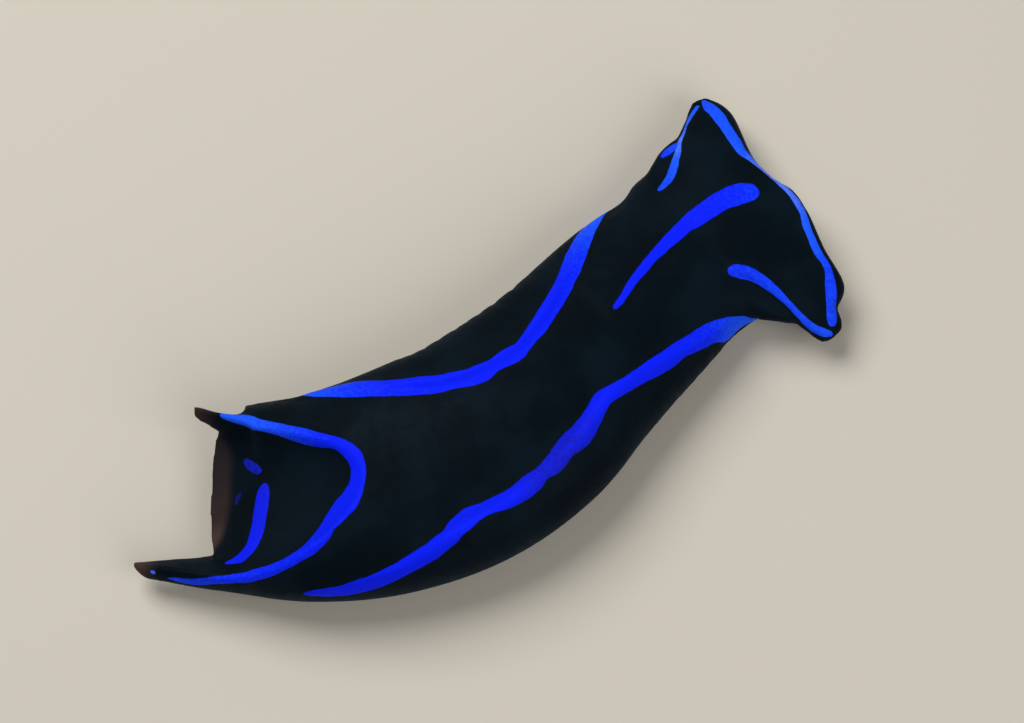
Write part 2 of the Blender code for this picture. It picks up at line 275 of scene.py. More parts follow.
# The sole's front and rear ends.
FOOT = 1.0
FOOT_PROUD = 0.06
FOOT_ROUND = (0.35, 0.6)
FOOT_REAR_START = 39.2
FOOT_FRONT_WIDTH = [
    (1.0, 2.2),
    (1.2, 3.4),
    (1.8, 4.2),
    (3.0, 4.7),
    (6.0, 5.0),
    (9.0, 5.2),
]
FOOT_REAR_WIDTH = [(36.0, 6.1), (40.0, 5.2), (42.0, 3.8), (42.8, 2.6), (43.3, 1.2)]

# The tail shield: the scoop between its rims, and how far the rims stand up.
LEFT_RIM = [
    (34.2, 0.6),
    (35.2, 1.9),
    (38, 3.1),
    (41, 3.9),
    (43.2, 4.4),
    (45.5, 4.6),
]
RIGHT_RIM = [
    (34.2, -0.9),
    (34.9, -1.9),
    (36.6, -3.5),
    (38.3, -4.6),
    (40, -5.4),
    (42.7, -6.0),
    (45.2, -6.1),
    (48.2, -5.4),
]
SCOOP_FLOOR = [(34.2, 7.1), (37.0, 5.4), (41.2, 3.3)]
SCOOP_BANK = 4
SCOOP_ABOVE = 20.0
RIM_RAISE = 0.27
RIM_SPREAD = 0.35
RIM_RUN = 2.5

# Slices of the tail lobes, by the share of their length: the left of the inner side, the rim and
# the outer side, then the heights of the underside and the rim.
LEFT_LOBE_END = 45.3
LEFT_LOBE = [
    (0.0, 2.9, 3.9, 6.2, 1.2, 5.5),
    (0.25, 3.3, 4.3, 5.6, 1.6, 5.45),
    (0.5, 3.7, 4.48, 5.05, 2.8, 5.5),
    (0.75, 4.0, 4.55, 4.9, 3.9, 5.9),
    (0.92, 4.1, 4.68, 4.92, 4.9, 6.3),
    (1.0, 4.2, 4.75, 4.88, 5.4, 6.4),
]
RIGHT_LOBE_END = 48.55
RIGHT_LOBE = [
    (0.0, -3.2, -5.6, -6.3, 1.2, 4.4),
    (0.25, -3.4, -5.6, -6.05, 1.3, 3.9),
    (0.5, -3.8, -5.4, -5.9, 1.3, 3.4),
    (0.75, -4.1, -5.1, -5.68, 1.3, 3.0),
    (0.9, -4.3, -5.0, -5.5, 1.3, 2.6),
    (1.0, -4.45, -4.65, -4.9, 1.5, 2.2),
]

# The corners of a slice: shares of the inner side, the rim and the outer side, and of the height.
LOBE_CORNERS = [
    (0.0, 0.5, 0.5, 0.0),
    (0.0, 0.0, 1.0, 0.4),
    (0.0, 0.5, 0.5, 0.85),
    (0.0, 1.0, 0.0, 1.0),
    (0.25, 0.75, 0.0, 0.85),
    (0.7, 0.3, 0.0, 0.45),
    (1.0, 0.0, 0.0, 0.0),
    (0.5, 0.0, 0.5, 0.0),
]
LOBE_OVERLAP = 0.5

# The web, from the scoop's floor to its free edge.
WEB_START = -0.15
WEB_END = 44.1
WEB_EDGE_CURVE = 0.025
WEB_EDGE_MIDDLE = 1.5
WEB_LEFT = (3.4, 4.3)
WEB_RIGHT = (-5.0, -5.0)
WEB_TOP = (3.25, 2.05)
WEB_THICK = (1.6, 0.5)
WEB_CURL_LEFT = 0.075
WEB_CURL_RIGHT = 0.03

# The blue lines that are seen from above: distance, left and width.
FRONT_LINE = [
    (2.35, 9.05, 0.3),
    (2.25, 8.5, 0.75),
    (2.05, 7.65, 0.8),
    (1.95, 6.3, 0.7),
    (1.85, 5.3, 0.72),
    (1.75, 4.4, 0.64),
    (1.48, 3.9, 0.52),
    (0.95, 2.75, 0.46),
    (0.22, 1.2, 0.42),
    (-0.08, 0.3, 0.42),
    (-0.22, -0.8, 0.48),
    (-0.03, -2.2, 0.52),
    (0.0, -3.7, 0.45),
    (-0.17, -4.55, 0.38),
    (-0.15, -5.2, 0.46),
    (0.05, -5.95, 0.66),
    (0.3, -6.75, 0.7),
    (0.6, -7.75, 0.7),
    (0.72, -8.15, 0.55),
]
LEFT_REAR_LINE = [
    (2.8, 8.85, 0.22),
    (3.25, 8.42, 0.32),
    (3.6, 7.98, 0.2),
    (4.0, 7.35, 0.16),
    (4.3, 6.95, 0.28),
    (4.68, 6.25, 0.46),
    (5.02, 5.8, 0.5),
    (5.32, 5.42, 0.58),
    (5.75, 5.02, 0.64),
    (6.2, 4.78, 0.5),
    (6.6, 4.67, 0.26),
]
RIGHT_REAR_LINE = [
    (6.5, -2.66, 0.42),
    (6.35, -2.75, 0.72),
    (6.05, -2.95, 0.85),
    (5.3, -3.65, 0.75),
    (4.5, -4.6, 0.63),
    (3.75, -5.65, 0.43),
    (3.2, -6.4, 0.34),
    (2.75, -7.15, 0.38),
    (2.15, -8.0, 0.5),
    (1.45, -8.6, 0.47),
    (1.05, -8.85, 0.25),
]
MEDIAN_LINE = [
    (2.5, 1.48, 1.2),
    (3.1, 1.62, 1.48),
    (4.3, 1.65, 1.31),
    (5.6, 1.55, 1.27),
    (6.3, 1.54, 1.15),
    (6.95, 1.52, 0.98),
    (8.5, 1.3, 0.82),
    (10.1, 1.03, 0.62),
    (12.0, 0.65, 0.52),
    (13.4, 0.22, 0.44),
    (14.3, 0.03, 0.26),
]
MEDIAN_END = [(2.24, 1.8, 0.44), (2.64, 1.44, 0.58), (3.0, 1.14, 0.42)]
FLAP_FRONT_PATCH = [(5.25, 6.7, 0.3), (4.96, 6.76, 0.54), (4.58, 6.82, 0.52)]
TAIL_LINE = [
    (43.5, 4.55, 0.3),
    (42.8, 4.55, 0.75),
    (42.0, 4.42, 0.9),
    (40.9, 4.08, 0.82),
    (39.95, 3.79, 0.8),
    (38.95, 3.37, 1.0),
    (37.95, 2.99, 1.16),
    (37.0, 2.64, 1.03),
    (36.1, 2.33, 0.88),
    (35.45, 2.08, 0.76),
    (34.95, 1.69, 0.88),
    (34.45, 1.0, 1.04),
    (34.35, 0.2, 1.0),
    (34.65, -0.78, 1.1),
    (35.25, -1.69, 1.53),
    (35.85, -2.18, 1.74),
    (36.87, -3.22, 1.5),
    (37.8, -4.13, 1.18),
    (38.45, -4.66, 0.92),
    (39.2, -5.09, 0.78),
    (39.95, -5.36, 0.82),
    (40.85, -5.51, 0.83),
    (42.25, -5.73, 0.62),
    (44.05, -5.8, 0.66),
    (44.95, -5.75, 0.5),
    (45.6, -5.66, 0.36),
    (46.1, -5.6, 0.14),
]
TAIL_INNER_LINE = [
    (40.5, 0.5, 0.5),
    (40.6, -0.11, 0.92),
    (40.7, -1.18, 0.97),
    (40.9, -2.47, 0.9),
    (41.25, -3.47, 0.8),
    (41.6, -4.01, 0.75),
    (42.0, -4.23, 0.42),
    (42.45, -4.42, 0.16),
]
TAIL_PATCH = [(41.85, 2.26, 0.4), (41.5, 1.98, 0.62), (41.05, 1.68, 0.55), (40.85, 1.56, 0.3)]
WEB_PATCH = [(42.1, 0.3, 0.14), (42.25, 0.0, 0.3), (42.35, -0.35, 0.14)]
LOBE_SPOT = [(47.2, -5.3, 0.18), (47.1, -5.32, 0.18)]

# Each line with the light and shade painted into its blue, by the share of its length.
# 1 is a light painted highlight, 2 is a pale painted highlight, and below 0 is dull painted shade.
FRONT_PAINTED_LIGHT = [
    (0, 0.65),
    (0.28, 0.85),
    (0.36, 1.45),
    (0.52, 1.4),
    (0.62, 0.9),
    (0.75, 0.45),
    (1, 0.5),
]
LINES_FROM_ABOVE = (
    (FRONT_LINE, FRONT_PAINTED_LIGHT),
    (LEFT_REAR_LINE, [(0, 0.8), (0.4, 1.5), (0.7, 0.8), (1, 0.5)]),
    (RIGHT_REAR_LINE, [(0, 0.25), (0.5, 0.45), (1, 0.65)]),
    (MEDIAN_LINE, [(0, 0.3), (0.3, 0.05), (0.85, -0.1), (1, -0.4)]),
    (MEDIAN_END, [(0, 0.3), (1, 0.3)]),
    (FLAP_FRONT_PATCH, [(0, 0.3), (1, 0.6)]),
    (TAIL_LINE, [(0, 0.95), (0.1, 0.75), (0.25, 0.3), (0.4, 0), (0.8, 0.2), (1, 0.55)]),
    (TAIL_INNER_LINE, [(0, -0.5), (0.5, -0.35), (1, -0.05)]),
    (TAIL_PATCH, [(0, -0.7), (1, -0.7)]),
    (WEB_PATCH, [(0, -1), (1, -1)]),
    (LOBE_SPOT, [(0, 1.3), (1, 1.3)]),
)

# The blue lines on the flanks: distance, degrees above the widest line, and width.
LEFT_FLAP_LINE = [
    (6.3, -8, 0.5),
    (7.5, -6, 0.7),
    (9.0, -1, 0.8),
    (9.9, 8, 0.9),
    (10.5, 16, 1.05),
    (11.3, 26, 1.25),
    (12.3, 36.5, 1.35),
    (13.25, 44.5, 1.38),
    (14.15, 52, 1.36),
    (15.0, 57.5, 1.2),
    (16.35, 63.5, 1.15),
    (18.5, 69.6, 1.1),
    (19.5, 71.7, 0.94),
    (20.3, 72.8, 0.85),
    (21.15, 74, 1.02),
    (21.95, 72.8, 1.02),
    (23.05, 72, 0.9),
    (24.05, 71.7, 1.18),
    (25.25, 68.4, 1.1),
    (26.4, 65, 1.1),
    (27.6, 61.6, 1.24),
    (29.85, 54.2, 1.14),
    (31.5, 47.8, 1.2),
    (33.0, 40.8, 1.42),
    (34.4, 33.8, 1.4),
    (35.7, 28.4, 1.15),
    (36.7, 24.5, 0.7),
    (37.3, 22.5, 0.25),
]
RIGHT_FLAP_LINE = [
    (6.4, -26, 0.3),
    (7.0, -13, 1.0),
    (7.9, 0, 1.75),
    (8.85, 15.5, 1.72),
    (9.65, 27.5, 1.5),
    (10.75, 35.5, 1.4),
    (12.75, 43.8, 1.14),
    (14.0, 45.9, 1.24),
    (15.2, 48.9, 1.17),
    (17.1, 54.2, 0.95),
    (18.9, 59.7, 1.03),
    (19.8, 59.6, 1.12),
    (20.7, 57.5, 1.26),
    (21.8, 55.5, 1.52),
    (22.9, 55.2, 1.3),
    (23.9, 52.6, 1.25),
    (24.8, 52.3, 0.95),
    (25.7, 51.2, 1.26),
    (27.0, 50.2, 1.08),
    (28.2, 51.7, 0.87),
    (29.4, 50.6, 1.2),
    (30.5, 44, 1.1),
    (31.5, 38.5, 1.2),
    (33.35, 29.9, 1.12),
    (34.6, 23.1, 1.22),
    (36.2, 15.7, 1.2),
    (37.3, 13.8, 0.95),
    (38.1, 13.5, 0.35),
]
# The light and shade painted into each flap's line, by the share of its length, as above.
LEFT_FLAP_PAINTED_LIGHT = [
    (0, 0.8),
    (0.16, 0.8),
    (0.25, 0.35),
    (0.34, 0.1),
    (0.45, -0.05),
    (0.75, 0.05),
    (0.87, 0.35),
    (1, 0.9),
]
RIGHT_FLAP_PAINTED_LIGHT = [
    (0, 0.9),
    (0.1, 0.6),
    (0.2, 0.1),
    (0.38, -0.2),
    (0.5, -0.55),
    (0.62, -0.5),
    (0.7, 0),
    (0.85, -0.1),
    (1, -0.25),
]
LINES_ON_FLANKS = (
    (LEFT_FLAP_LINE, 1, LEFT_FLAP_PAINTED_LIGHT),
    (RIGHT_FLAP_LINE, -1, RIGHT_FLAP_PAINTED_LIGHT),
)

# How the lines are laid on the skin, and how far the blue stands proud of it.
LINE_STEP = 0.12
LINE_DROP_FROM = 12.0
LINE_LOWEST = 1.5
LINE_NEAR_HEIGHT = 3.0
LINE_BATCH = 40
LINE_BATCH_REACH = 2.0
BLUE_REACH = 0.8
BLUE_RAISE = 0.035
BLUE_RAISE_RUN = (-0.15, 0.25)

# Where the web's flesh is thin enough to look brown: by left, the distance and how brown it gets.
BROWN_START = [
    (-4.1, 43.5, 0.7),
    (-3.3, 43.0, 1.0),
    (-2.5, 42.7, 0.85),
    (-1.6, 42.5, 0.46),
    (0.0, 42.45, 0.34),
    (1.5, 42.55, 0.28),
    (2.6, 42.6, 0.28),
    (3.8, 43.2, 0.24),
]
BROWN_RUN = 0.7
BROWN_LEFT = (-4.3, -4.0, 3.7, 4.2)
BROWN_TIPS = ((43.6, 45.9), (46.7, 48.5))
BROWN_ABOVE = (1.1, 1.4)
BROWN_BEYOND = (0.1, 0.35)
BROWN_BEYOND_LEFT = -3.0

# The pale bristles that feel the way, in a tuft on each side of the mouth.
BRISTLES = 34
BRISTLE_SEED = 5
BRISTLE_ACROSS = (0.95, 2.5)
BRISTLE_HEIGHT = (1.5, 2.5)
BRISTLE_LENGTH = (0.45, 0.85)
BRISTLE_RADIUS = 0.03
BRISTLE_TAPER = 0.85
BRISTLE_GRID = (5, 5)
BRISTLE_ROOT = 0.12
BRISTLE_AHEAD = -3.0
BRISTLE_SPLAY = 0.35
BRISTLE_LIFT = (-0.15, 0.3)
BRISTLE_CURL = 0.25

# How many slices each form has, and how many points go round or across a slice.
BODY_GRID = (270, 200)
PLATE_GRID = (190, 40)
PLATE_EDGE = 12
SNOUT_GRID = (24, 81)
FOOT_GRID = (60, 40)
LOBE_GRID = (60, 48)
WEB_GRID = (40, 60)

# The skin's mesh: the voxels that fuse the forms, and the smoothing that takes their steps out.
VOXEL = 0.155
EVEN_ROUNDS = 22
EVEN_IN = 0.5
EVEN_OUT = 0.52
SOFT_ROUNDS = 40
SOFT_STEP = 0.5

# Where the voxels' steps need more smoothing, with how much.
CREST_WEIGHT = 0.25
RIM_ZONE = (0.4, 0.9)
FLAP_ZONE = (0.5, 1.0)
LEFT_TIP_ZONE = (-0.6, -0.2)
SOLE_EDGE = (0.7, 1.1)
LOBE_START = (42.3, 43.0)
LOBE_UNDERSIDE = (1.5, 2.1)

# Where separate forms grow into each other.
NAPE_DISTANCE = (5.3, 6.2, 9.5, 11.0)
NAPE_LEFT = (-2.2, -1.6, 3.6, 4.2)
NAPE_ABOVE = 3.8
SCOOP_END_DISTANCE = (40.2, 40.8, 42.0, 43.0)
SCOOP_END_LEFT = (-4.6, -4.0, 3.3, 3.9)
SCOOP_END_ABOVE = 1.6
FLANK_END_DISTANCE = (40.0, 40.8, 42.5, 43.5)
FLANK_END_RIGHT = (4.6, 5.2)
FLANK_END_BELOW = (3.6, 4.4)

# Steps along the midline, the stretch of it that points are read against, and how many at a time.
STEP = 0.05
MIDLINE_REACH = (-2.0, 50.0)
POINT_BATCH = 4000


def along(table, values, column=1):
    """The values of a table's column on a smooth curve through its rows."""
    keys = np.array([row[0] for row in table], float)
    knots = np.array([row[column] for row in table], float)
    slopes = np.empty_like(knots)
    slopes[1:-1] = (knots[2:] - knots[:-2]) / (keys[2:] - keys[:-2])
    slopes[0] = (knots[1] - knots[0]) / (keys[1] - keys[0])
    slopes[-1] = (knots[-1] - knots[-2]) / (keys[-1] - keys[-2])
    at = np.clip(values, keys[0], keys[-1])
    k = np.clip(np.searchsorted(keys, at, side="right") - 1, 0, len(keys) - 2)
    width = keys[k + 1] - keys[k]
    t = (at - keys[k]) / width
    return (
        (2 * t**3 - 3 * t**2 + 1) * knots[k]
        + (t**3 - 2 * t**2 + t) * width * slopes[k]
        + (3 * t**2 - 2 * t**3) * knots[k + 1]
        + (t**3 - t**2) * width * slopes[k + 1]
    )


def rising(values, start, end):
    """A smooth step from 0 at start to 1 at end."""
    t = np.clip((values - start) / (end - start), 0, 1)
    return t * t * (3 - 2 * t)


def within(values, zone):
    """1 between the inner two limits of a zone, and 0 outside its outer two."""
    return rising(values, zone[0], zone[1]) * (1 - rising(values, zone[2], zone[3]))


def midline_tables():
    reach = [0.0]
    for before, after in zip(MIDLINE, MIDLINE[1:]):
        reach.append(reach[-1] + math.dist(before, after))
    return [[(d, p[axis]) for d, p in zip(reach, MIDLINE)] for axis in (0, 1)]


MIDLINE_TABLES = midline_tables()
MIDLINE_LENGTH = MIDLINE_TABLES[0][-1][0]


def on_midline(distance):
    return np.stack([along(table, distance) for table in MIDLINE_TABLES], -1)


def place(distance, left, height):
    """Points of the animal's own frame on the floor plan, in millimetres."""
    distance, left, height = np.broadcast_arrays(
        np.asarray(distance, float), np.asarray(left, float), np.asarray(height, float)
    )
    inside = np.clip(distance, STEP, MIDLINE_LENGTH - STEP)
    run = on_midline(inside + STEP) - on_midline(inside - STEP)
    run /= np.linalg.norm(run, axis=-1, keepdims=True)
    beside = np.stack([run[..., 1], -run[..., 0]], -1)
    plan = on_midline(inside) - MIDDLE
    plan = plan + run * (distance - inside)[..., None] + beside * left[..., None]
    return np.concatenate([plan, height[..., None]], -1)


def foot_half_width(distance):
    front = along(FOOT_FRONT_WIDTH, distance)
    rear = along(FOOT_REAR_WIDTH, distance)
    middle = (1 - TUCK) * (along(LEFT_WIDTH, distance) + along(RIGHT_WIDTH, distance)) / 2
    start, end = FOOT_FRONT_WIDTH[-1][0], FOOT_REAR_WIDTH[0][0]
    return np.where(distance < start, front, np.where(distance > end, rear, middle))


def half_width(distance, side):
    """The body's width on one side, rounded in at the shoulders under the head shield."""
    ahead = np.clip((SHOULDER - distance) / SHOULDER_RUN, 0, 1)
    wide = np.where(side > 0, along(LEFT_WIDTH, distance), along(RIGHT_WIDTH, distance))
    return wide * np.sqrt(1 - ahead**2)


def section(distance, side, rise):
    """The outer surface: rise runs from -90 at the floor over 0 to 90 at the crest."""
    wide = half_width(distance, side)
    height = along(HEIGHT, distance)
    widest = WIDEST_AT * height
    down = np.clip(-rise / 90, 0, 1)
    tuck = np.clip(1 - foot_half_width(distance) / np.maximum(wide, 0.1), 0, 1)
    up = np.radians(np.clip(rise, 0, 90))
    power = 2 / SQUARENESS
    out = np.clip(np.cos(up), 0, 1) ** power * (1 - tuck * down**2)
    over = widest + (height - widest) * np.sin(up) ** power - widest * down
    return side * wide * out, over


def skin(distance, side, rise, out):
    """Points of the section moved outwards, square to the surface, as left and height."""
    left, height = section(distance, side, rise)
    low = section(distance, side, np.maximum(rise - 2, -90))
    high = section(distance, side, np.minimum(rise + 2, 90))
    run_left, run_up = high[0] - low[0], high[1] - low[1]
    run = np.maximum(np.hypot(run_left, run_up), 1e-6)
    return left + side * out * run_up / run, height - side * out * run_left / run


def margin(distance, side):
    return np.where(side > 0, along(LEFT_MARGIN, distance), along(RIGHT_MARGIN, distance))


def lip(distance, side, rise):
    """How far the skin stands out near a flap's margin: a rounded lip and a groove inside it."""
    top = margin(distance, side)
    quick, slow = LIP_WAVE_RATES
    swell = 1 + LIP_WAVE * np.sin(quick * distance + side) * np.sin(slow * distance)
    high = LIP * swell * np.sin(np.radians(top))
    above = rise - top
    slope = np.clip(1 + above / LIP_RUN, 0, 1) ** LIP_SLOPE
    edge = 1 - rising(above, -LIP_ROUND, LIP_ROUND)
    groove = GROOVE * within(above, (GROOVE_START, LIP_ROUND, LIP_ROUND, GROOVE_RUN))
    fade = rising(distance - SHOULDER, *LIP_FADE)
    return (high * slope * edge - groove * np.sin(np.radians(top))) * fade


def folds(distance, side, rise):
    """How deep the folds across a flank and the groove above the sole lie in the skin."""
    start, end = LEFT_FOLDS if side > 0 else RIGHT_FOLDS
    here = within(distance, (start, start + FOLD_FADE, end - FOLD_FADE, end))
    here = here * np.exp(-(((rise - FOLD_RISE[0]) / FOLD_RISE[1]) ** 2))
    lean = FOLD_LEAN * np.sin(np.radians(FOLD_LEAN_RATE * rise))
    drift = FOLD_DRIFT * np.sin(FOLD_DRIFT_RATE * distance)
    wave = 0.5 + 0.5 * np.cos(2 * math.pi * distance / FOLD_SPACING + lean + drift)
    uneven = np.sin(FOLD_UNEVEN_RATE * distance + rise / FOLD_UNEVEN_RISE)
    here = here * (1 - FOLD_UNEVEN + FOLD_UNEVEN * uneven)
    sole = 90 * (FOOT / (WIDEST_AT * along(HEIGHT, distance)) - 1)
    groove = np.exp(-(((rise - sole) / SOLE_GROOVE_SPREAD) ** 2))
    return FOLD_DEPTH * here * wave**FOLD_SHARPNESS + SOLE_GROOVE * groove


def shield_lift(distance, side, rise):
    """How far the rear of the head shield stands above the back."""
    left, _ = section(distance, side, rise)
    behind = distance - SHIELD_END + SHIELD_END_BOW * left**2
    lift = SHIELD_LIFT * rising(behind, -SHIELD_LIFT_RUN, 0) * (1 - rising(behind, *SHIELD_EDGE))
    top = margin(distance, side)
    return lift * rising(rise, top + GROOVE_RUN / 2, top + 2 * GROOVE_RUN)


def back_height(distance, left):
    """The height of the back over a point of the floor."""
    height = along(HEIGHT, distance)
    widest = WIDEST_AT * height
    share = np.clip(np.abs(left) / half_width(distance, left), 0, 1) ** SQUARENESS
    return widest + (height - widest) * (1 - share) ** (1 / SQUARENESS)


def scooped(distance, left, height):
    """The hollow between the rims of the tail shield, and the rims themselves."""
    left_rim, right_rim = along(LEFT_RIM, distance), along(RIGHT_RIM, distance)
    across = np.clip((left - right_rim) / (left_rim - right_rim), 0, 1)
    bank = (2 * np.abs(across - 0.5)) ** SCOOP_BANK
    depth = np.maximum(back_height(distance, left) - along(SCOOP_FLOOR, distance), 0)
    inside = (left < left_rim) & (left > right_rim) & (distance > LEFT_RIM[0][0])
    nearest = np.minimum(np.abs(left - left_rim), np.abs(left - right_rim))
    rim = RIM_RAISE * rising(distance, LEFT_RIM[0][0], LEFT_RIM[0][0] + RIM_RUN)
    rim = rim * np.exp(-((nearest / RIM_SPREAD) ** 2))
    return height - np.where(inside, depth * (1 - bank), 0) + rim


def body_rings():
    """The body from the shoulders to the tail shield, with the flaps lying against its flanks."""
    distance = np.linspace(BODY_START, BODY_END, BODY_GRID[0])[:, None]
    rise = np.linspace(-90, 90, BODY_GRID[1])[None, :]
    rings = []
    for side in (1, -1):
        out = lip(distance, side, rise) - folds(distance, side, rise)
        out = out + shield_lift(distance, side, rise)
        left, height = skin(distance, side, rise, out)
        free = rise > np.maximum(margin(distance, side), SCOOP_ABOVE)
        height = np.where(free, scooped(distance, left, height), height)
        longer = LEFT_FLANK_LONGER * rising(distance, BODY_END - LONGER_RUN, BODY_END)
        longer = longer * rising(left, *LONGER_LEFT)
        rings.append(place(distance + longer, left, np.maximum(height, 0)))
    return np.concatenate([rings[0], rings[1][:, ::-1]], 1)


def head_top(distance, left):
    return along(HEAD_TOP, distance) - HEAD_DROOP * (left / LEFT_REACH) ** 2


def plate_rings(rear_table, lower_top):
    """The head shield in slices from its left tip to its right tip, with rounded free edges."""
    left = np.linspace(LEFT_REACH, -RIGHT_REACH, PLATE_GRID[0])[:, None]
    front, rear = along(HEAD_FRONT, left), along(rear_table, left)
    thick = along(HEAD_THICK, np.abs(left)) - lower_top
    nose = np.minimum(HEAD_NOSE, (rear - front) / HEAD_NOSE_SHARE)
    span = np.linspace(0, 1, PLATE_GRID[1])[None, :]
    quarter = np.radians(np.linspace(0, 90, PLATE_EDGE))[None, :]
    run_in, drop_in = 1 - np.cos(quarter), 1 - np.sin(quarter)
    middle = front + nose + (rear - front - 2 * nose) * span[:, 1:-1]
    distance = np.concatenate([front + nose * run_in, middle, rear - nose * run_in[:, ::-1]], 1)
    flat = np.zeros_like(middle)
    drop = np.concatenate([thick / 2 * drop_in, flat, thick / 2 * drop_in[:, ::-1]], 1)
    top = head_top(distance, left) - lower_top
    sunk = back_height(np.maximum(distance, BODY_START + 1), left) - SHIELD_UNDER_BACK
    weight = rising(distance, *SHIELD_SINK)
    top = top * (1 - weight) + np.minimum(top, sunk) * weight
    upper = place(distance, left, top - drop)
    lower = place(distance, left, top - thick + drop)
    return np.concatenate([upper, lower[:, ::-1]], 1)


def snout_rings():
    """The snout, in level slices from the foot up into the shield."""
    across = np.linspace(-SNOUT_HALF_WIDTH, SNOUT_HALF_WIDTH, SNOUT_GRID[1])[None, :]
    share = np.linspace(0, 1, SNOUT_GRID[0])[:, None]
    recess = SNOUT_ROUND * (2 * share - 1) ** 2
    distance = along(SNOUT_FRONT, np.abs(across)) + recess
    ceiling = head_top(distance, across) - along(HEAD_THICK, np.abs(across)) + SNOUT_INTO_SHIELD
    floor = FOOT - SNOUT_INTO_FOOT
    front = place(distance, across, floor + (ceiling - floor) * share)
    back = np.full_like(distance, SNOUT_REAR)
    rear = place(back, across * SNOUT_FLARE, floor + (SNOUT_REAR_TOP - floor) * share)
    return np.concatenate([front, rear[:, ::-1]], 1)


def foot_rings(start, end):
    """One end of the sole, whose edge is rounded above and flat on the floor."""
    distance = np.linspace(start, end, FOOT_GRID[0])[:, None]
    wide = foot_half_width(distance) + FOOT_PROUD
    turn = np.radians(np.linspace(0, 180, FOOT_GRID[1]))[None, :]
    across = np.cos(turn)
    left = np.sign(across) * np.abs(across) ** FOOT_ROUND[0] * wide
    height = FOOT * np.sin(turn) ** FOOT_ROUND[1]
    return place(distance, left, height)


def rounded(ring, count):
    """A closed smooth curve through the points of a ring, for each ring of a stack."""
    places = np.linspace(0, ring.shape[1], count, endpoint=False)
    k = places.astype(int)
    t = (places - k)[None, :, None]
    before, here, after, beyond = (ring[:, (k + shift) % ring.shape[1]] for shift in (-1, 0, 1, 2))
    return 0.5 * (
        2 * here
        + (after - before) * t
        + (2 * before - 5 * here + 4 * after - beyond) * t**2
        + (3 * here - before - 3 * after + beyond) * t**3
    )


def lobe_rings(end, slices):
    """A tail lobe: up its outer side to the rim, down its hollow side and across its underside."""
    share = np.linspace(0, 1, LOBE_GRID[0])
    inner, rim, outer, low, high = (along(slices, share, column) for column in range(1, 6))
    start = BODY_END - LOBE_OVERLAP
    distance = start + (end - start) * share
    corners = []
    for to_inner, to_rim, to_outer, up in LOBE_CORNERS:
        left = to_inner * inner + to_rim * rim + to_outer * outer
        corners.append(np.stack([left, low + up * (high - low)], -1))
    ring = rounded(np.stack(corners, 1), LOBE_GRID[1])
    return place(distance[:, None], ring[..., 0], ring[..., 1])


def web_edge(left):
    """The distance of the web's free edge."""
    return WEB_END - WEB_EDGE_CURVE * (left - WEB_EDGE_MIDDLE) ** 2


def web_rings():
    """The thin web between the tail lobes, from the scoop's floor to its free edge."""
    share = np.linspace(WEB_START, 1, WEB_GRID[0])[:, None]
    span = np.linspace(0, 1, WEB_GRID[1])[None, :]
    start = WEB_LEFT[0] + (WEB_LEFT[1] - WEB_LEFT[0]) * share
    end = WEB_RIGHT[0] + (WEB_RIGHT[1] - WEB_RIGHT[0]) * share
    left = start + (end - start) * span
    distance = BODY_END + (web_edge(left) - BODY_END) * share
    curl = np.where(left > 0, WEB_CURL_LEFT, WEB_CURL_RIGHT) * left**2
    thin = np.clip(1 - share, 0, 1) ** 2
    top = WEB_TOP[1] + (WEB_TOP[0] - WEB_TOP[1]) * thin + curl
    thick = WEB_THICK[1] + (WEB_THICK[0] - WEB_THICK[1]) * thin
    upper = place(distance, left, top)
    lower = place(distance, left, top - thick)
    return np.concatenate([upper, lower[:, ::-1]], 1)


def joined_tubes(stacks):
    """One mesh of closed tubes, each through a stack of closed rings."""
    mesh = bmesh.new()
    for rings in stacks:
        verts = [[mesh.verts.new(point) for point in ring] for ring in rings.tolist()]
        for near, far in zip(verts, verts[1:]):
            for k in range(len(near)):
                mesh.faces.new((near[k - 1], near[k], far[k], far[k - 1]))
        mesh.faces.new(verts[0])
        mesh.faces.new(verts[-1][::-1])
    bmesh.ops.recalc_face_normals(mesh, faces=mesh.faces)
    data = bpy.data.meshes.new("tubes")
    mesh.to_mesh(data)
    mesh.free()
    return data


def fused(data):
    """The outside of overlapping closed surfaces, as one even mesh."""
    obj = bpy.data.objects.new("fused", data)
    bpy.context.scene.collection.objects.link(obj)
    remesh = obj.modifiers.new("Remesh", "REMESH")
    remesh.mode = "VOXEL"
    remesh.voxel_size = VOXEL
    graph = bpy.context.evaluated_depsgraph_get()
    result = bpy.data.meshes.new_from_object(obj.evaluated_get(graph))
    bpy.data.objects.remove(obj)
    return result


def bristle(root, aim, curl):
    """The rings of one tapering, slightly curled bristle."""
    share = np.linspace(0, 1, BRISTLE_GRID[0])[:, None, None]
    turn = np.linspace(0, 2 * math.pi, BRISTLE_GRID[1], endpoint=False)[None, :, None]
    across = np.cross(aim, (0, 0, 1))
    across /= np.linalg.norm(across)
    upward = np.cross(across, aim)
    upward /= np.linalg.norm(upward)
    radius = BRISTLE_RADIUS * (1 - BRISTLE_TAPER * share)
    middle = root + aim * share + curl * share**2
    return middle + radius * (np.cos(turn) * across + np.sin(turn) * upward)


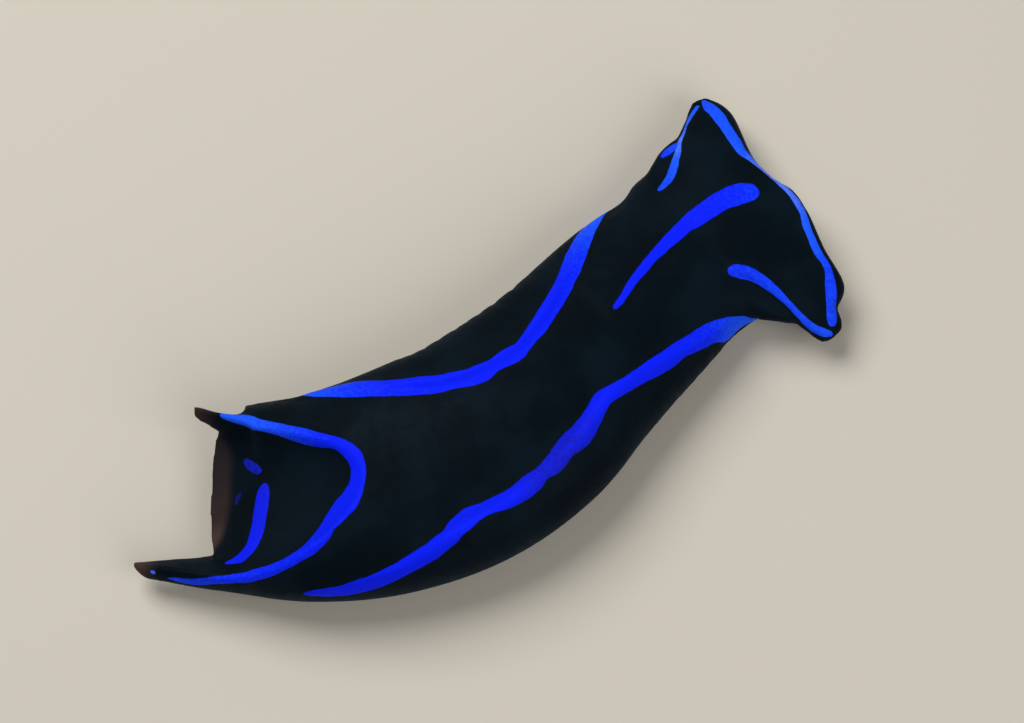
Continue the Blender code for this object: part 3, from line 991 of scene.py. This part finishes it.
def bristle_tufts(tree):
    """Bristles rooted in the lips on both sides of the mouth."""
    random = np.random.default_rng(BRISTLE_SEED)
    stacks = []
    for side in (1, -1):
        for _ in range(BRISTLES):
            across = random.uniform(*BRISTLE_ACROSS)
            height = random.uniform(*BRISTLE_HEIGHT)
            length = random.uniform(*BRISTLE_LENGTH)
            lift = random.uniform(*BRISTLE_LIFT)
            ahead, behind = place([BRISTLE_AHEAD, 0.0], side * across, height)
            backwards = (behind - ahead) / np.linalg.norm(behind - ahead)
            hit = tree.ray_cast(Vector(ahead), Vector(backwards))[0]
            sideways = place(0.0, side, 0.0) - place(0.0, 0.0, 0.0)
            aim = sideways * BRISTLE_SPLAY * across / BRISTLE_ACROSS[1] - backwards
            aim = aim * length + np.array([0, 0, lift * length])
            root = np.array(hit) + backwards * BRISTLE_ROOT
            stacks.append(bristle(root, aim, np.array([0, 0, -BRISTLE_CURL * length])))
    data = joined_tubes(stacks)
    data.vertices.foreach_set("co", (points_of(data) * MM).ravel())
    data.shade_smooth()
    obj = bpy.data.objects.new("bristles", data)
    bpy.context.scene.collection.objects.link(obj)
    return obj


def points_of(data):
    points = np.empty(len(data.vertices) * 3)
    data.vertices.foreach_get("co", points)
    return points.reshape(-1, 3)


def neighbour_mean(points, edges):
    """The middle of the neighbours of each point."""
    ends = np.concatenate([edges, edges[:, ::-1]])
    count = np.bincount(ends[:, 0], minlength=len(points))
    sums = [np.bincount(ends[:, 0], points[ends[:, 1], axis], len(points)) for axis in range(3)]
    return np.stack(sums, -1) / count[:, None]


def own_frame(points):
    """The distance and left of points of the floor plan."""
    count = round((MIDLINE_REACH[1] - MIDLINE_REACH[0]) / STEP) + 1
    distance = np.linspace(*MIDLINE_REACH, count)
    plan = place(distance, 0, 0)[:, :2]
    beside = place(distance, 1, 0)[:, :2] - plan
    nearest = np.empty(len(points), int)
    for start in range(0, len(points), POINT_BATCH):
        batch = slice(start, start + POINT_BATCH)
        gaps = points[batch, None, :2] - plan[None]
        nearest[batch] = np.argmin((gaps**2).sum(-1), 1)
    left = ((points[:, :2] - plan[nearest]) * beside[nearest]).sum(-1)
    return distance[nearest], left


def softened(points, edges, weight, rounds):
    """Points moved towards their neighbours' middle, by a weight each."""
    points = points.copy()
    for _ in range(rounds):
        points += SOFT_STEP * weight[:, None] * (neighbour_mean(points, edges) - points)
    return points


def evened(points, edges, rounds):
    """Smoothing that takes out the voxels' steps and keeps the volume."""
    for _ in range(rounds):
        points = points + EVEN_IN * (neighbour_mean(points, edges) - points)
        points = points - EVEN_OUT * (neighbour_mean(points, edges) - points)
    return points


def crest_weights(distance, left, height):
    """Where steps show most: the flaps' margins, the rims, the lobes and the sole's edge."""
    gaps = [np.abs(left - along(rim, distance)) for rim in (LEFT_RIM, RIGHT_RIM)]
    rim_start = LEFT_RIM[0][0]
    rims = (1 - rising(np.minimum(*gaps), *RIM_ZONE)) * rising(distance, rim_start - 1, rim_start)
    side = np.sign(left)
    crest, _ = section(distance, side, margin(distance, side))
    flaps = (1 - rising(np.abs(left - crest), *FLAP_ZONE)) * (distance < BODY_END)
    tip = rising(distance - LEFT_LOBE_END, *LEFT_TIP_ZONE) * (left > 0)
    above = np.maximum(np.maximum(rims, flaps), tip) * (height > FOOT)
    sole = 1 - rising(height, *SOLE_EDGE)
    under = rising(distance, *LOBE_START) * (1 - rising(height, *LOBE_UNDERSIDE))
    return CREST_WEIGHT * np.maximum(above, np.maximum(sole, under))


def seam_weights(points):
    """How much each point is smoothed: most at the nape and at the ends of scoop and flank."""
    distance, left = own_frame(points)
    height = points[:, 2]
    nape = within(distance, NAPE_DISTANCE) * within(left, NAPE_LEFT) * (height > NAPE_ABOVE)
    scoop = within(distance, SCOOP_END_DISTANCE) * within(left, SCOOP_END_LEFT)
    scoop = scoop * (height > SCOOP_END_ABOVE)
    flank = within(distance, FLANK_END_DISTANCE) * rising(-left, *FLANK_END_RIGHT)
    flank = flank * (1 - rising(height, *FLANK_END_BELOW))
    seams = np.maximum(np.maximum(nape, scoop), flank)
    return np.maximum(seams, crest_weights(distance, left, height))


def smooth_rows(rows, count):
    """A list of rows, read off evenly on smooth curves through its columns."""
    table = [(k, *row) for k, row in enumerate(rows)]
    places = np.linspace(0, len(rows) - 1, count)
    return [along(table, places, column) for column in range(1, len(table[0]))]


def line_points(tree):
    """Points along every blue line, laid on the skin, with the half width and the painted light
    there.
    """
    found = []
    for rows, painted_lightness in LINES_FROM_ABOVE:
        count = int(sum(math.dist(a[:2], b[:2]) for a, b in zip(rows, rows[1:])) / LINE_STEP) + 2
        distance, left, width = smooth_rows(rows, count)
        light = along(painted_lightness, np.linspace(0, 1, count))
        for point, wide, painted_brightness in zip(place(distance, left, LINE_DROP_FROM), width, light):
            hit = tree.ray_cast(Vector(point), Vector((0, 0, -1)))[0]
            if hit is None or hit.z < LINE_LOWEST:
                hit = tree.find_nearest(Vector((point[0], point[1], LINE_NEAR_HEIGHT)))[0]
            found.append((*hit, wide / 2, painted_brightness))
    for rows, side, painted_lightness in LINES_ON_FLANKS:
        count = int((rows[-1][0] - rows[0][0]) / LINE_STEP) + 2
        distance, rise, width = smooth_rows(rows, count)
        light = along(painted_lightness, np.linspace(0, 1, count))
        left, height = skin(distance, side, rise, lip(distance, side, rise))
        for point, wide, painted_brightness in zip(place(distance, left, height), width, light):
            hit = tree.find_nearest(Vector(point))[0]
            found.append((*hit, wide / 2, painted_brightness))
    return np.array(found)


def blue_depth(points, tree):
    """How deep each point lies inside a blue line, below 0 outside, and the painted light and shade
    of that line.
    """
    lines = line_points(tree)
    depth = np.full(len(points), -BLUE_REACH)
    light = np.zeros(len(points))
    for start in range(0, len(lines), LINE_BATCH):
        some = lines[start : start + LINE_BATCH]
        low = some[:, :3].min(0) - LINE_BATCH_REACH
        high = some[:, :3].max(0) + LINE_BATCH_REACH
        near = np.flatnonzero(((points > low) & (points < high)).all(1))
        gaps = some[None, :, 3] - np.linalg.norm(points[near, None] - some[None, :, :3], axis=-1)
        deepest = gaps.max(1)
        deeper = deepest > depth[near]
        light[near[deeper]] = some[gaps.argmax(1)[deeper], 4]
        depth[near] = np.maximum(depth[near], deepest)
    return depth, light


def brownness(points):
    """How brown the skin is: the thin web, and a little at the tips of the tail lobes."""
    distance, left = own_frame(points)
    start, strength = along(BROWN_START, left), along(BROWN_START, left, 2)
    web = strength * rising(distance, start, start + BROWN_RUN)
    web = web * within(left, BROWN_LEFT)
    beyond = distance - web_edge(left)
    web = web * (1 - rising(beyond, *BROWN_BEYOND) * (left < BROWN_BEYOND_LEFT))
    web = web * rising(points[:, 2], *BROWN_ABOVE)
    left_tip, right_tip = (rising(distance, *tip) for tip in BROWN_TIPS)
    return np.maximum(web, np.where(left > 0, left_tip, right_tip))


def store(data, name, values):
    attribute = data.attributes.new(name, "FLOAT", "POINT")
    attribute.data.foreach_set("value", values.astype(np.float32))


def normals_of(data):
    normals = np.empty(len(data.vertices) * 3)
    data.vertices.foreach_get("normal", normals)
    return normals.reshape(-1, 3)


def main_skin():
    """The one closed skin, with the blue, its painted light and shade, and the brown of each point,
    and its surface to cast onto.
    """
    stacks = [
        body_rings(),
        plate_rings(SHIELD_REAR, 0.0),
        plate_rings(FLAP_FRONT_REAR, SHIELD_STEP),
        snout_rings(),
        foot_rings(FOOT_FRONT_WIDTH[0][0], FOOT_FRONT_WIDTH[-1][0]),
        foot_rings(FOOT_REAR_START, FOOT_REAR_WIDTH[-1][0]),
        lobe_rings(LEFT_LOBE_END, LEFT_LOBE),
        lobe_rings(RIGHT_LOBE_END, RIGHT_LOBE),
        web_rings(),
    ]
    data = fused(joined_tubes(stacks))
    points = points_of(data)
    edges = np.empty(len(data.edges) * 2, int)
    data.edges.foreach_get("vertices", edges)
    edges = edges.reshape(-1, 2)
    points = evened(points, edges, EVEN_ROUNDS)
    points = softened(points, edges, seam_weights(points), SOFT_ROUNDS)
    points[:, 2] = np.maximum(points[:, 2], 0)
    data.vertices.foreach_set("co", points.ravel())
    data.update()
    tree = BVHTree.FromPolygons(points.tolist(), [tuple(p.vertices) for p in data.polygons])
    blue, light = blue_depth(points, tree)
    store(data, "blue", blue)
    # The light and shade painted into the blue lines: painted highlights above 0, painted shade
    # below.
    store(data, "light", light)
    store(data, "brown", brownness(points))
    points += normals_of(data) * (BLUE_RAISE * rising(blue, *BLUE_RAISE_RUN))[:, None]
    data.vertices.foreach_set("co", (points * MM).ravel())
    data.update()
    data.shade_smooth()
    obj = bpy.data.objects.new("skin", data)
    bpy.context.scene.collection.objects.link(obj)
    return obj, tree


class Nodes:
    """Short calls for building one material's nodes."""

    def __init__(self, name):
        self.material = bpy.data.materials.new(name)
        self.material.use_nodes = True
        self.tree = self.material.node_tree
        self.shader = self.tree.nodes["Principled BSDF"]

    def add(self, kind, inputs=None, **settings):
        node = self.tree.nodes.new(kind)
        for key, value in settings.items():
            setattr(node, key, value)
        for key, value in (inputs or {}).items():
            self.give(node.inputs[key], value)
        return node

    def give(self, socket, value):
        if isinstance(value, bpy.types.NodeSocket):
            self.tree.links.new(value, socket)
        else:
            socket.default_value = value

    def math(self, operation, first, second=0.0):
        return self.add("ShaderNodeMath", {0: first, 1: second}, operation=operation).outputs[0]

    def ramp(self, value, start, end, low=0.0, high=1.0):
        inputs = {"Value": value, "From Min": start, "From Max": end, "To Min": low, "To Max": high}
        node = self.add("ShaderNodeMapRange", inputs, interpolation_type="SMOOTHSTEP")
        return node.outputs["Result"]

    def mix(self, share, first, second):
        node = self.add("ShaderNodeMix", data_type="RGBA")
        self.give(node.inputs["Factor"], share)
        self.give(node.inputs["A"], first)
        self.give(node.inputs["B"], second)
        return node.outputs["Result"]

    def noise(self, place, scale, detail=2.0):
        inputs = {"Vector": place, "Scale": scale, "Detail": detail}
        return self.add("ShaderNodeTexNoise", inputs).outputs["Fac"]

    def attribute(self, name):
        return self.add("ShaderNodeAttribute", attribute_name=name).outputs["Fac"]


# Colours of the skin.
DEEP_BLACK = (0.0012, 0.0036, 0.0062, 1)
SOFT_BLACK = (0.0022, 0.0062, 0.0105, 1)
BROWN = (0.058, 0.032, 0.025, 1)
BLUE = (0.003, 0.012, 0.78, 1)
# Painted light on the blue lines: a lighter and a pale blue for painted highlights, a dull blue for
# painted shade.
PAINTED_HIGHLIGHT_BLUE = (0.011, 0.09, 0.82, 1)
PAINTED_PALE_HIGHLIGHT_BLUE = (0.13, 0.22, 0.88, 1)
PAINTED_SHADE_BLUE = (0.009, 0.011, 0.28, 1)
GREY_BRISTLE = (0.16, 0.2, 0.24, 1)
PALE_BRISTLE = (0.5, 0.56, 0.6, 1)
SHEEN_TINT = (0.2, 0.6, 1, 1)

# Noise sizes, in noise cells to the metre, and the middle stretch of the noise that is used.
EDGE_NOISE = 900
MOTTLE_NOISE = 260
FINE_NOISE = 5200
COARSE_NOISE = 1700
ROUGH_NOISE = 1500
BRISTLE_NOISE = 2500
NOISE_SPAN = (0.3, 0.7)
NOISE_MIDDLE = (0.35, 0.65)

# The lines' edges, in millimetres inside them, the unevenness of their painted light, and the runs
# over which painted shade dulls a line and fades it into the black.
EDGE_RAGGED = 0.03
EDGE_RUN = (-0.06, 0.005)
LIGHT_UNEVEN = 0.12
PAINTED_SHADE_RUN = (-0.15, -1.0)
PAINTED_SHADE_FADE_RUN = (-0.5, -1.1)
PAINTED_SHADE_FAINTEST = 0.3

# The finish.
ROUGHNESS = (0.5, 0.62)
BRISTLE_ROUGHNESS = 0.45
SPECULAR = 0.025
SHEEN = 0.04
SHEEN_ROUGHNESS = 0.4
COARSE_SHARE = 0.8
GRAIN_STRENGTH = 0.35
GRAIN_DEPTH = 0.00003


def skin_material():
    nodes = Nodes("velvet")
    place_in = nodes.add("ShaderNodeTexCoord").outputs["Object"]
    fine = nodes.noise(place_in, FINE_NOISE)

    ragged = nodes.ramp(nodes.noise(place_in, EDGE_NOISE), *NOISE_SPAN, -EDGE_RAGGED, EDGE_RAGGED)
    blue = nodes.ramp(nodes.math("ADD", nodes.attribute("blue"), ragged), *EDGE_RUN)
    mottle = nodes.ramp(nodes.noise(place_in, MOTTLE_NOISE, 3.0), *NOISE_MIDDLE)
    black = nodes.mix(mottle, DEEP_BLACK, SOFT_BLACK)
    black = nodes.mix(nodes.attribute("brown"), black, BROWN)
    # Light and shade painted into the blue lines: the light attribute mixes in painted highlights
    # and painted shade, and deep painted shade fades the blue into the black.
    uneven = nodes.ramp(fine, *NOISE_SPAN, -LIGHT_UNEVEN, LIGHT_UNEVEN)
    light = nodes.math("ADD", nodes.attribute("light"), uneven)
    paint = nodes.mix(nodes.ramp(light, 0, 1), BLUE, PAINTED_HIGHLIGHT_BLUE)
    paint = nodes.mix(nodes.ramp(light, 1, 2), paint, PAINTED_PALE_HIGHLIGHT_BLUE)
    paint = nodes.mix(nodes.ramp(light, *PAINTED_SHADE_RUN), paint, PAINTED_SHADE_BLUE)
    blue = nodes.math("MULTIPLY", blue, nodes.ramp(light, *PAINTED_SHADE_FADE_RUN, 1, PAINTED_SHADE_FAINTEST))
    nodes.give(nodes.shader.inputs["Base Color"], nodes.mix(blue, black, paint))

    rough = nodes.ramp(nodes.noise(place_in, ROUGH_NOISE), *NOISE_SPAN, *ROUGHNESS)
    nodes.give(nodes.shader.inputs["Roughness"], rough)
    nodes.shader.inputs["Specular IOR Level"].default_value = SPECULAR
    nodes.shader.inputs["Sheen Weight"].default_value = SHEEN
    nodes.shader.inputs["Sheen Roughness"].default_value = SHEEN_ROUGHNESS
    nodes.shader.inputs["Sheen Tint"].default_value = SHEEN_TINT

    coarse = nodes.math("MULTIPLY", nodes.noise(place_in, COARSE_NOISE), COARSE_SHARE)
    grain = nodes.math("ADD", fine, coarse)
    heights = {"Height": grain, "Strength": GRAIN_STRENGTH, "Distance": GRAIN_DEPTH}
    bump = nodes.add("ShaderNodeBump", heights)
    nodes.give(nodes.shader.inputs["Normal"], bump.outputs["Normal"])
    return nodes.material


def bristle_material():
    nodes = Nodes("bristle")
    place_in = nodes.add("ShaderNodeTexCoord").outputs["Object"]
    shade = nodes.ramp(nodes.noise(place_in, BRISTLE_NOISE), *NOISE_MIDDLE)
    nodes.give(nodes.shader.inputs["Base Color"], nodes.mix(shade, GREY_BRISTLE, PALE_BRISTLE))
    nodes.shader.inputs["Roughness"].default_value = BRISTLE_ROUGHNESS
    return nodes.material


# The camera of the photo.
ELEVATION = math.radians(72)
TARGET = Vector((1.12, -1.36, 3.0))
CAMERA_DISTANCE = 260.0
FIELD = 66.0
SENSOR = 36.0
CLIP = (0.01, 2.0)

# The studio: a pale floor, whose half width is in metres, and two soft white lights, each with
# its place, size and power.
FLOOR_HALF = 0.6
FLOOR_COLOUR = (0.5, 0.46, 0.39, 1)
FLOOR_ROUGHNESS = 0.9
KEY_LIGHT = ((-120, 130, 260), 220, 1.0)
FILL_LIGHT = ((160, -160, 180), 260, 0.5)
SKY_COLOUR = (0.8, 0.85, 0.9, 1)
SKY_STRENGTH = 0.2


def make_camera():
    data = bpy.data.cameras.new("camera")
    data.sensor_width = SENSOR
    data.lens = SENSOR * CAMERA_DISTANCE / FIELD
    data.clip_start, data.clip_end = CLIP
    forward = Vector((0, math.cos(ELEVATION), -math.sin(ELEVATION)))
    camera = bpy.data.objects.new("camera", data)
    bpy.context.scene.collection.objects.link(camera)
    camera.location = (TARGET - forward * CAMERA_DISTANCE) * MM
    camera.rotation_euler = (math.pi / 2 - ELEVATION, 0, 0)
    bpy.context.scene.camera = camera


def area_light(name, position, size, power):
    data = bpy.data.lights.new(name, "AREA")
    data.shape = "DISK"
    data.size = size * MM
    data.energy = power
    light = bpy.data.objects.new(name, data)
    light.location = Vector(position) * MM
    light.rotation_euler = (-Vector(position)).to_track_quat("-Z", "Y").to_euler()
    bpy.context.scene.collection.objects.link(light)


def make_studio():
    floor_mesh = bpy.data.meshes.new("floor")
    signs = [(-1, -1), (1, -1), (1, 1), (-1, 1)]
    corners = [(x * FLOOR_HALF, y * FLOOR_HALF, 0) for x, y in signs]
    floor_mesh.from_pydata(corners, [], [(0, 1, 2, 3)])
    floor = bpy.data.objects.new("floor", floor_mesh)
    bpy.context.scene.collection.objects.link(floor)
    material = bpy.data.materials.new("floor")
    material.use_nodes = True
    shader = material.node_tree.nodes["Principled BSDF"]
    shader.inputs["Base Color"].default_value = FLOOR_COLOUR
    shader.inputs["Roughness"].default_value = FLOOR_ROUGHNESS
    floor_mesh.materials.append(material)
    area_light("key", *KEY_LIGHT)
    area_light("fill", *FILL_LIGHT)
    world = bpy.data.worlds.new("world")
    world.use_nodes = True
    background = world.node_tree.nodes["Background"]
    background.inputs["Color"].default_value = SKY_COLOUR
    background.inputs["Strength"].default_value = SKY_STRENGTH
    bpy.context.scene.world = world
    bpy.context.scene.view_settings.view_transform = "Standard"


make_camera()
make_studio()
skin_piece, skin_tree = main_skin()
skin_piece.data.materials.append(skin_material())
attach(skin_piece, "root")
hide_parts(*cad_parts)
bristle_piece = bristle_tufts(skin_tree)
bristle_piece.data.materials.append(bristle_material())
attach(bristle_piece, "root")
